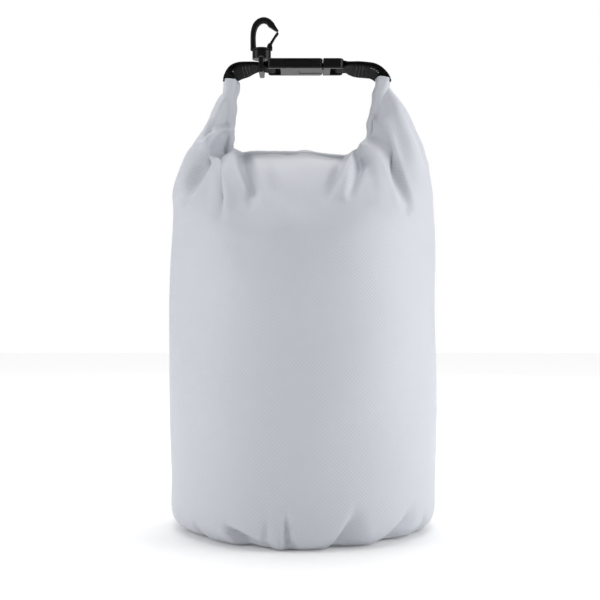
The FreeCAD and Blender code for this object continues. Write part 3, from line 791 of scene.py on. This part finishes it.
# folds pressed into the cloth, seen from the front: points (x, z), half width, depth, sharpness of
# the left and right side; a negative depth is a ridge
frontFolds = [
    ([(-0.063, 0.305), (-0.074, 0.284), (-0.088, 0.258)], 0.010, 0.0070, 0.9, 0.6),
    ([(-0.0575, 0.3080), (-0.0580, 0.283), (-0.0590, 0.254)], 0.014, -0.0070, 1.0, 0.9),
    ([(-0.078, 0.318), (-0.090, 0.285), (-0.097, 0.262)], 0.011, -0.0030, 1.0, 1.0),
    ([(-0.078, 0.306), (-0.069, 0.316)], 0.006, 0.0060, 1.0, 0.8),
    ([(-0.079, 0.299), (-0.074, 0.300), (-0.067, 0.313), (-0.058, 0.315), (-0.054, 0.310)],
     0.0055, -0.0040, 1.0, 1.0),
    ([(-0.058, 0.352), (-0.067, 0.342), (-0.076, 0.328)], 0.0028, 0.0016, 1.0, 1.0),
    ([(-0.050, 0.292), (-0.044, 0.277), (-0.039, 0.262), (-0.040, 0.254)], 0.011, 0.0070, 0.45, 1.0),
    ([(0.041, 0.294), (0.034, 0.277), (0.0285, 0.258)], 0.010, -0.0060, 0.8, 1.0),
    ([(0.033, 0.288), (0.025, 0.272), (0.019, 0.256)], 0.009, 0.0040, 1.0, 0.4),
    ([(0.048, 0.294), (0.0415, 0.276), (0.0345, 0.257)], 0.006, 0.0045, 1.0, 0.8),
    ([(0.056, 0.308), (0.056, 0.280), (0.055, 0.255)], 0.012, -0.0045, 1.0, 1.0),
    ([(0.060, 0.316), (0.069, 0.283), (0.080, 0.250)], 0.009, 0.0072, 1.0, 0.6),
    ([(0.072, 0.334), (0.083, 0.300), (0.091, 0.268)], 0.011, -0.0030, 1.0, 1.0),
    ([(0.066, 0.346), (0.073, 0.318), (0.077, 0.290)], 0.007, 0.0026, 1.0, 1.0),
    ([(0.057, 0.332), (0.061, 0.312)], 0.005, 0.0026, 1.0, 1.0),
    ([(-0.066, 0.345), (-0.075, 0.325), (-0.085, 0.300)], 0.006, 0.0030, 1.0, 0.6),
    ([(-0.028, 0.281), (-0.017, 0.256)], 0.010, 0.0030, 1.0, 0.6),
    ([(-0.036, 0.284), (-0.026, 0.268)], 0.009, -0.0015, 1.0, 1.0),
]

# the cloth beside the roll's bends is drawn up over them: middle x, z, reach and pull along x, y, z
frontPulls = [
    (0.050, 0.296, 0.017, -0.0050, -0.0060, 0.0055),
    (-0.059, 0.306, 0.013, 0.0025, -0.0060, 0.0030),
    (0.057, 0.318, 0.012, -0.0020, -0.0040, 0.0020),
]

# pleats where the wall turns into the base: angle at the bottom and at the top in degrees from the
# front, half width at the bottom, height, depth, share of the half width on the steep side
basePleats = [
    (-24, -34, 15, 0.020, 0.0095, 0.35),
    (-6, -7, 5.5, 0.031, 0.0060, 0.5),
    (-15, -14, 4, 0.034, 0.0020, 1.0),
    (13, 22, 16, 0.033, 0.0080, 0.2),
    (35, 53, 16, 0.030, 0.0085, 0.2),
    (63, 60, 6, 0.022, 0.0025, 0.8),
    (-52, -49, 6, 0.020, 0.0020, 0.8),
]
for turn in range(11):
    lean = math.sin(turn * 2.3)
    basePleats.append((86 + turn * 20 + 5 * lean, 86 + turn * 20 + 11 * lean, 9 + 3 * math.cos(turn * 1.7),
                       0.022 + 0.006 * math.cos(turn * 2.9), 0.0040 + 0.0012 * lean, 0.45))


def pressFold(x, z, line, reach, depth, leftSide, rightSide):
    # how far each point (x, z) is pressed in by one fold
    best = np.full(len(x), 9.0)
    side = np.zeros(len(x))
    along = np.zeros(len(x))
    total = len(line) - 1
    for k, ((ax, az), (bx, bz)) in enumerate(zip(line, line[1:])):
        dx, dz = bx - ax, bz - az
        share = np.clip(((x - ax) * dx + (z - az) * dz) / (dx * dx + dz * dz), 0, 1)
        ox, oz = x - ax - share * dx, z - az - share * dz
        far = np.hypot(ox, oz)
        nearer = far < best
        best = np.where(nearer, far, best)
        side = np.where(nearer, ox, side)
        along = np.where(nearer, (k + share) / total, along)
    sharp = np.where(side < 0, leftSide, rightSide)
    taper = 0.35 + 0.65 * np.sin(np.clip(along, 0.02, 0.98) * math.pi)
    return depth * taper * smooth(1 - best / (reach * sharp))


def pressPleats(points):
    angle = np.degrees(np.arctan2(points[:, 0], -points[:, 1]))
    height = points[:, 2]
    press = np.zeros(len(points))
    for low, top, half, tall, depth, steep in basePleats:
        rise = np.clip(height / tall, 0, 1)
        off = (angle - (low + (top - low) * rise) + 180) % 360 - 180
        reach = half * (1.05 - 0.85 * rise)
        share = np.where(off < 0, -off / (reach * steep), off / reach)
        ends = smooth((1 - rise) * 1.6) * smooth(height / 0.004 + 0.3)
        press += depth * np.clip(1 - share, 0, 1) ** 1.4 * ends
    return press


sculpt = {
    "frontFrom": 0.004,     # the folds act on cloth this far in front of the middle
    "frontFade": 0.012,
    "foldsFrom": 0.235,     # and above this height
    "foldsFade": 0.01,
    "pleatsTo": 0.06,
    "pleatsFade": 0.02,
    "swell": 0.0007,        # slow waves of the filled bag
    "taper": 0.0007,
    "swellFade": 0.05,
    "swellTo": 0.27,
}


def sculptBag(piece):
    mesh = piece.data
    points = readVectors(mesh.vertices, "co")
    normals = readVectors(mesh.vertex_normals, "vector")
    x, y, z = points.T
    press = np.zeros(len(points))
    moved = np.zeros_like(points)
    front = (smooth((-y - sculpt["frontFrom"]) / sculpt["frontFade"])
             * smooth((z - sculpt["foldsFrom"]) / sculpt["foldsFade"]))
    for fold in frontFolds:
        press += pressFold(x, z, *fold) * front
    for middleX, middleZ, reach, *pull in frontPulls:
        part = smooth(1 - np.hypot(x - middleX, z - middleZ) / reach) * front
        moved += part[:, None] * np.array(pull)
    press += pressPleats(points) * smooth((sculpt["pleatsTo"] - z) / sculpt["pleatsFade"])
    # slow swell of the filled bag and the wall's slight taper
    around = np.arctan2(y, x)
    swell = sculpt["swell"] * (np.sin(around * 3 + z * 31) + 0.6 * np.sin(around * 5 - z * 47 + 1))
    taper = sculpt["taper"] * np.sin(np.clip(z / 0.24, 0, 1) * math.pi * 1.5 - 1.2)
    fade = sculpt["swellFade"]
    press -= (swell + taper) * smooth(z / fade) * smooth((sculpt["swellTo"] - z) / fade)
    lap = smooth((bag["lapHalf"] - np.abs(x)) / 0.001) * (y > bag["lapFrom"])
    press -= bag["lapHeight"] * lap
    points += moved - normals * press[:, None]
    points[:, 2] = np.maximum(points[:, 2], 0.0005)
    mesh.vertices.foreach_set("co", points.astype(np.float32).ravel())
    mesh.update()


bagFabric = makeBagFabric()
subdivide(bagFabric)
sculptBag(bagFabric)
giveWall(bagFabric, bag["wall"])
print("bag fabric made,", len(bagFabric.data.polygons), "faces")

base = {
    "radius": 0.092,
    "rings": 16,
    "columns": 96,
    "low": 0.0012,
    "dish": 0.0012,         # its middle stands this much higher
    "wave": 0.0002,
    "curl": 0.0024,         # the rim turns up inside the wall
    "curlFrom": 0.083,
    "curlOver": 0.009,
}


def makeBase():
    # round base panel, standing a little higher in its middle
    points, faces, corners = [(0, 0, base["low"] + base["dish"])], [], []
    for r in range(1, base["rings"] + 1):
        share = r / base["rings"]
        reach = base["radius"] * share
        curl = base["curl"] * smooth((reach - base["curlFrom"]) / base["curlOver"])
        for c in range(base["columns"]):
            a = 2 * math.pi * c / base["columns"]
            lift = base["dish"] * (1 - share ** 2) + base["wave"] * math.sin(5 * a) * share
            points.append((reach * math.cos(a), reach * math.sin(a), base["low"] + lift + curl))
    for r in range(base["rings"]):
        first, second = 1 + (r - 1) * base["columns"], 1 + r * base["columns"]
        for c in range(base["columns"]):
            d = (c + 1) % base["columns"]
            face = (first + d, first + c, second + c, second + d) if r else (0, second + c, second + d)
            faces.append(face)
            corners += [(points[k][0], points[k][1]) for k in face]
    return addMesh("base_fabric", points, faces, corners, clothFinish)


baseFabric = makeBase()
giveWall(baseFabric, bag["wall"])
print("base made")


def smoothLine(points, step):
    # an even line through the control points, each a row of any numbers that starts with x, z
    points = np.array(points, float)
    padded = np.concatenate([[2 * points[0] - points[1]], points, [2 * points[-1] - points[-2]]])
    fine = []
    for k in range(1, len(padded) - 2):
        before, here, there, after = padded[k - 1:k + 3]
        for t in np.linspace(0, 1, 24, endpoint=False):
            fine.append(0.5 * (2 * here + (there - before) * t
                               + (2 * before - 5 * here + 4 * there - after) * t ** 2
                               + (3 * here - before - 3 * there + after) * t ** 3))
    fine = np.array(fine + [points[-1]])
    reach = np.concatenate([[0], np.cumsum(np.linalg.norm(np.diff(fine[:, :2], axis=0), axis=1))])
    places = np.linspace(0, reach[-1], max(4, round(reach[-1] / step)))
    return np.array([np.interp(places, reach, fine[:, k]) for k in range(fine.shape[1])]).T, places


def lineNormals(line):
    way = np.gradient(line[:, :2], axis=0)
    way /= np.linalg.norm(way, axis=1)[:, None]
    return np.stack([-way[:, 1], way[:, 0]], axis=1)


# webbing tabs: each line is the strap's middle as x, z and its twist in degrees

tabs = {
    "halfWidth": 0.0125,
    "halfThickness": 0.00075,
    "step": 0.00065,
    "across": 14,
    "pick": 0.0026,         # distance between the loops of the selvedge
    "selvedge": 0.00014,
    "left": [(-0.0622, 0.3535, 4), (-0.0608, 0.3580, 8), (-0.0566, 0.3632, 13), (-0.0515, 0.3655, 14),
             (-0.0450, 0.3664, 12), (-0.0390, 0.3678, 5), (-0.0340, 0.3683, 1), (-0.0300, 0.3691, 0),
             (-0.0270, 0.36975, 0), (-0.0240, 0.36975, 0), (-0.0230, 0.3690, 0), (-0.0230, 0.3658, 0),
             (-0.0240, 0.36505, 0), (-0.0270, 0.36505, 0), (-0.0300, 0.3656, 0), (-0.0340, 0.3665, -1),
             (-0.0390, 0.3660, -5), (-0.0450, 0.3644, -12), (-0.0510, 0.3628, -14), (-0.0555, 0.3600, -12)],
    "right": [(0.0600, 0.3598, -9), (0.0550, 0.3628, -11), (0.0440, 0.3643, -13), (0.0385, 0.3652, -9),
              (0.0350, 0.3657, -3), (0.0322, 0.36505, 0), (0.0285, 0.36505, 0), (0.0275, 0.3653, 0),
              (0.02685, 0.3661, 0), (0.02685, 0.3687, 0), (0.0275, 0.3695, 0), (0.0285, 0.36975, 0),
              (0.0322, 0.36975, 0), (0.0350, 0.3686, 3), (0.0385, 0.3672, 9), (0.0440, 0.3664, 13),
              (0.0510, 0.3663, 11), (0.0570, 0.3656, 9), (0.0622, 0.3628, 8), (0.0668, 0.3582, 6),
              (0.0690, 0.3535, 4)],
}


def strapPoint(line, normals, k, across, out):
    # a point of the strap at step k, so far across and outwards from its middle
    twist = math.radians(line[k, 2])
    lift = out * math.cos(twist) - across * math.sin(twist)
    return (line[k, 0] + normals[k, 0] * lift, across * math.cos(twist) + out * math.sin(twist),
            line[k, 1] + normals[k, 1] * lift)


def tabSection():
    # the strap's cross section, as shares of its half width and half thickness
    count = tabs["across"]
    ring = []
    for side in (1, -1):
        for k in range(count):
            share = (2 * k / (count - 1) - 1) * side
            edge = smooth((abs(share) - 0.86) / 0.14)
            swell = 0.10 * smooth((abs(share) - 0.8) / 0.08) * (1 - edge)
            ring.append((share, side * (1 - 0.55 * edge ** 2 + swell)))
    return ring


def makeTab(name, line):
    line, reach = smoothLine(line, tabs["step"])
    normals = lineNormals(line)
    count, ring = tabs["across"], tabSection()
    points, corners, turns = [], [], len(ring)
    for k, along in enumerate(reach):
        loop = tabs["selvedge"] * math.cos(2 * math.pi * along / tabs["pick"])
        for share, out in ring:
            bulge = loop * smooth((abs(share) - 0.7) / 0.3)
            across = share * tabs["halfWidth"] + math.copysign(bulge, share)
            points.append(strapPoint(line, normals, k, across, out * tabs["halfThickness"]))
    faces = ringFaces(len(reach) - 1, turns)
    for low, high in zip(reach, reach[1:]):
        for c in range(turns):
            here, there = (ring[d % turns][0] * tabs["halfWidth"] for d in (c, c + 1))
            corners += [(low, here), (low, there), (high, there), (high, here)]
    last = (len(reach) - 1) * turns
    for c in range(count - 1):
        under = turns - 1 - c
        faces.append((c + 1, c, under, under - 1))
        faces.append((last + c, last + c + 1, last + under - 1, last + under))
        corners += [(0, 0), (0.001, 0), (0.001, 0.001), (0, 0.001)] * 2
    piece = addMesh(name, points, faces, corners, webFinish)
    outward(piece)
    return piece, line, normals


stitching = {
    "length": 0.0016,
    "radius": 0.00027,
    "pitch": 0.0021,
    "rowGap": 0.0024,
    "reach": 0.0105,        # half length of a row across the strap
    "leftStart": -0.0478,
    "rightStart": 0.0430,
    "tackLift": 0.00008,
    "edge": 0.0108,         # place of the rows along the strap, from its middle
    "edgeLift": 0.0001,
    "edgeFrom": 0.0535,     # they run beyond this distance from the bag's middle
    "edgeBelow": 0.3662,    # and below this height
}


def stitchTree():
    tree = bpy.data.node_groups.new("stitch_rows", "GeometryNodeTree")
    sockets = {}
    for label, kind in (("Points", "NodeSocketGeometry"), ("Stitch length", "NodeSocketFloat"),
                        ("Thread radius", "NodeSocketFloat"), ("Thread", "NodeSocketMaterial")):
        sockets[label] = tree.interface.new_socket(label, in_out="INPUT", socket_type=kind).identifier
    tree.interface.new_socket("Stitches", in_out="OUTPUT", socket_type="NodeSocketGeometry")
    given = tree.nodes.new("NodeGroupInput").outputs
    ball = addNode(tree, "GeometryNodeMeshUVSphere", {},
                   {"Segments": 8, "Rings": 6, "Radius": given["Thread radius"]})
    width = addNode(tree, "ShaderNodeMath", {"operation": "MULTIPLY"}, {0: given["Thread radius"], 1: 2})
    ratio = addNode(tree, "ShaderNodeMath", {"operation": "DIVIDE"}, {0: given["Stitch length"], 1: width})
    size = addNode(tree, "ShaderNodeCombineXYZ", {}, {0: ratio, 1: 1, 2: 1})
    along = addNode(tree, "GeometryNodeInputNamedAttribute", {"data_type": "FLOAT_VECTOR"}, {"Name": "along"})
    turn = addNode(tree, "FunctionNodeAlignRotationToVector", {"axis": "X"}, {"Vector": along})
    placed = addNode(tree, "GeometryNodeInstanceOnPoints", {},
                     {"Points": given["Points"], "Instance": ball, "Rotation": turn, "Scale": size})
    real = addNode(tree, "GeometryNodeRealizeInstances", {}, {0: placed})
    shaded = addNode(tree, "GeometryNodeSetShadeSmooth", {}, {0: real})
    dressed = addNode(tree, "GeometryNodeSetMaterial", {}, {"Geometry": shaded, "Material": given["Thread"]})
    tree.links.new(dressed, tree.nodes.new("NodeGroupOutput").inputs[0])
    return tree, sockets


def makeStitches(name, spots, ways, finish):
    mesh = bpy.data.meshes.new(name)
    mesh.from_pydata(spots, [], [])
    layer = mesh.attributes.new("along", "FLOAT_VECTOR", "POINT")
    layer.data.foreach_set("vector", np.asarray(ways, np.float32).ravel())
    piece = show(name, mesh)
    rows = piece.modifiers.new("rows", "NODES")
    rows.node_group = stitchNodes
    rows[stitchSockets["Stitch length"]] = stitching["length"]
    rows[stitchSockets["Thread radius"]] = stitching["radius"]
    rows[stitchSockets["Thread"]] = finish
    settle(piece)
    return piece


def stitchRows(line, normals, pairs, lift):
    # pairs: the two ends of each stitch, as a step along the strap and a place across it
    out = tabs["halfThickness"] + lift
    ends = [[strapPoint(line, normals, k, across, out) for k, across in pair] for pair in pairs]
    return [start for start, _ in ends], [[b - a for a, b in zip(*pair)] for pair in ends]


def tackSpots(line, normals, start):
    # three rows across the strap, on the faces of both plies
    pairs = []
    count = round(2 * stitching["reach"] / stitching["pitch"])
    for upper in (True, False):
        ply = [k for k in range(len(line)) if (normals[k, 1] > 0) == upper]
        for row in range(3):
            k = min(ply, key=lambda k: abs(line[k, 0] - start - row * stitching["rowGap"]))
            for stitch in range(count + 1):
                across = -stitching["reach"] + stitch * stitching["pitch"]
                pairs.append([(k, across), (k, across + 0.001)])
    return stitchRows(line, normals, pairs, stitching["tackLift"])


def seamAndGlintSpots(line, normals):
    # two rows of pale stitches along the strap, just inside its selvedges, where it is sewn to the cloth;
    # their pale colour also stands as painted glints along the strap's bend
    step = round(stitching["pitch"] / tabs["step"])
    pairs = [[(k, across), (k + 1, across)]
             for k in range(1, len(line) - 1, step)
             if line[k, 1] < stitching["edgeBelow"] and stitching["edgeFrom"] < abs(line[k, 0])
             for across in (-stitching["edge"], stitching["edge"])]
    return stitchRows(line, normals, pairs, stitching["edgeLift"])


stitchNodes, stitchSockets = stitchTree()
for side in ("left", "right"):
    tab, line, normals = makeTab(f"strap_{side}", tabs[side])
    rows = tackSpots(line, normals, stitching[f"{side}Start"])
    tack = makeStitches(f"strap_tack_{side}", *rows, threadFinish)
    # the pale rows on the bend: a seam, and painted glints along the bend
    seam = makeStitches(f"strap_seam_and_glint_{side}", *seamAndGlintSpots(line, normals), paleThreadAndGlintFinish)
    for piece, node, slot in ((tab, f"webbing_tab_{side}", "webbing"), (tack, f"tack_{side}", "thread"),
                              (seam, None, "thread")):
        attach(piece, "bag")
        if node:
            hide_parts(node)
print("webbing and stitches made")

# snap hook: arm swept in the plane of the opening, on its disc and stem; x, z and half width in mm

hook = {
    "halfDepth": 2.5,
    "lipHalfDepth": 2.4,
    "around": 20,
    "squareness": 2.8,
    "arm": [(-6.6, -1.2, 2.5), (-6.75, 2, 2.3), (-6.9, 8, 2.2), (-6.5, 13.6, 2.3), (-4.9, 18.4, 2.5),
            (-2.0, 21.6, 2.6), (1.4, 22.8, 2.6), (4.7, 22.0, 2.6), (7.4, 19.8, 2.5), (9.6, 17.2, 2.0),
            (11.6, 15.2, 1.4), (13.1, 14.1, 0.8)],
    "lip": [(5.3, 21.0, 1.5), (6.3, 18.8, 1.5), (7.6, 17.4, 1.0), (9.2, 16.6, 0.8)],
    "cheek": [(6.4, -0.9, 2.2), (6.5, 1.0, 2.1), (6.6, 2.4, 1.9), (6.7, 3.6, 1.2)],
    "cheekHalfDepth": 0.62,
    "cheekSide": 2.38,
    "profile": [(0, -8.1), (3.6, -8.1), (4.1, -7.7), (4.1, -5.4), (2.75, -5.1), (2.75, -1.8), (7.2, -1.8),
                (7.65, -1.4), (7.7, -0.9), (7.6, -0.35), (7.1, 0), (4.0, 0.15), (0, 0.2)],
    "turns": 48,
    "fromSide": 0.0088,     # from the CAD hook's side and top to the middle of the disc, in metres
    "fromTop": 0.0255,
}


def sweepArm(controls, halfDepth, middleY, points, faces):
    # a rounded bar along its controls, closed at both ends
    line, _ = smoothLine(controls, 0.55)
    normals = lineNormals(line)
    last = len(line) - 1
    ends = [(0, 0.35), (0, 0.8)] + [(k, 1.0) for k in range(len(line))] + [(last, 0.8), (last, 0.35)]
    first = len(points)
    count = hook["around"]
    power = 2 / hook["squareness"]
    way = np.stack([normals[:, 1], -normals[:, 0]], axis=1)
    for place, (k, size) in enumerate(ends):
        push = {0: -0.30, 1: -0.18, len(ends) - 2: 0.18, len(ends) - 1: 0.30}.get(place, 0) * line[k, 2]
        for c in range(count):
            a = 2 * math.pi * c / count
            out = squarish(math.cos(a), power) * line[k, 2] * size
            deep = squarish(math.sin(a), power) * halfDepth * size
            points.append((line[k, 0] + normals[k, 0] * out + way[k, 0] * push, middleY + deep,
                           line[k, 1] + normals[k, 1] * out + way[k, 1] * push))
    faces += ringFaces(len(ends) - 1, count, first)
    for k, step in ((0, -1), (len(ends) - 1, 1)):
        ring = [first + k * count + c for c in range(count)][::step]
        points.append(tuple(np.mean([points[i] for i in ring], axis=0)))
        faces += [(ring[c], ring[(c + 1) % count], len(points) - 1) for c in range(count)]


def makeHook():
    points, faces = [], []
    sweepArm(hook["arm"], hook["halfDepth"], 0, points, faces)
    sweepArm(hook["lip"], hook["lipHalfDepth"], 0, points, faces)
    for side in (-1, 1):
        sweepArm(hook["cheek"], hook["cheekHalfDepth"], side * hook["cheekSide"], points, faces)
    first, turns = len(points), hook["turns"]
    profile = hook["profile"]
    points.append((0, 0, profile[0][1]))
    for radius, z in profile[1:-1]:
        for c in range(turns):
            a = 2 * math.pi * c / turns
            points.append((radius * math.cos(a), radius * math.sin(a), z))
    points.append((0, 0, profile[-1][1]))
    last = len(points) - 1
    for c in range(turns):
        d = (c + 1) % turns
        faces.append((first, first + 1 + d, first + 1 + c))
        for k in range(len(profile) - 3):
            low, high = first + 1 + k * turns, first + 1 + (k + 1) * turns
            faces.append((low + c, low + d, high + d, high + c))
        faces.append((last - turns + c, last - turns + d, last))
    low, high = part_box("snap_hook")
    centre = (low[0] + hook["fromSide"], high[2] - hook["fromTop"])
    points = [(centre[0] + x / 1000, y / 1000, centre[1] + z / 1000) for x, y, z in points]
    corners = [(0, 0)] * sum(len(face) for face in faces)
    piece = addMesh("hook_arm", points, faces, corners, hookFinish)
    outward(piece)
    return piece


hookArm = makeHook()
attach(hookArm, "hook")
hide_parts("snap_hook")
print("hook made")

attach(bagFabric, "bag")
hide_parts("tube_panel", "neck_panel", "neck_left", "neck_right", "mouth_roll",
            "side_seam_tape")
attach(baseFabric, "bag")
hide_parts("base_panel", "base_seam_tape")
